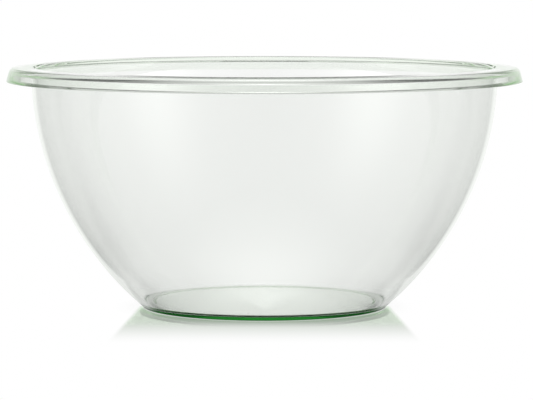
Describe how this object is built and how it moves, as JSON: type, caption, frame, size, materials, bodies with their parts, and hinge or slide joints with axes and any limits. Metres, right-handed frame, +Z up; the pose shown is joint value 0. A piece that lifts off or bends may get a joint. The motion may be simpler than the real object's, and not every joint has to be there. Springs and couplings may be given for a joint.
{
  "type": "salad bowl",
  "caption": "Clear pressed-glass salad bowl: deep rounded wall, flat floor on a standing ring and a heavy overhanging lip to lift it by.",
  "frame": {"origin": "middle of the flat ring that the bowl stands on, on the bowl's axis", "axes": "+Z up along the bowl's axis, from the standing ring to the rim; X and Y are any two square directions, because the bowl is round"},
  "size_m": [0.25, 0.25, 0.117],
  "materials": {
    "clear_glass": "fire-polished clear soda-lime glass with a faint green cast where the light path is long"
  },
  "bodies": {
    "root": {"glass_bowl": "clear_glass"}
  },
  "joints": []
}
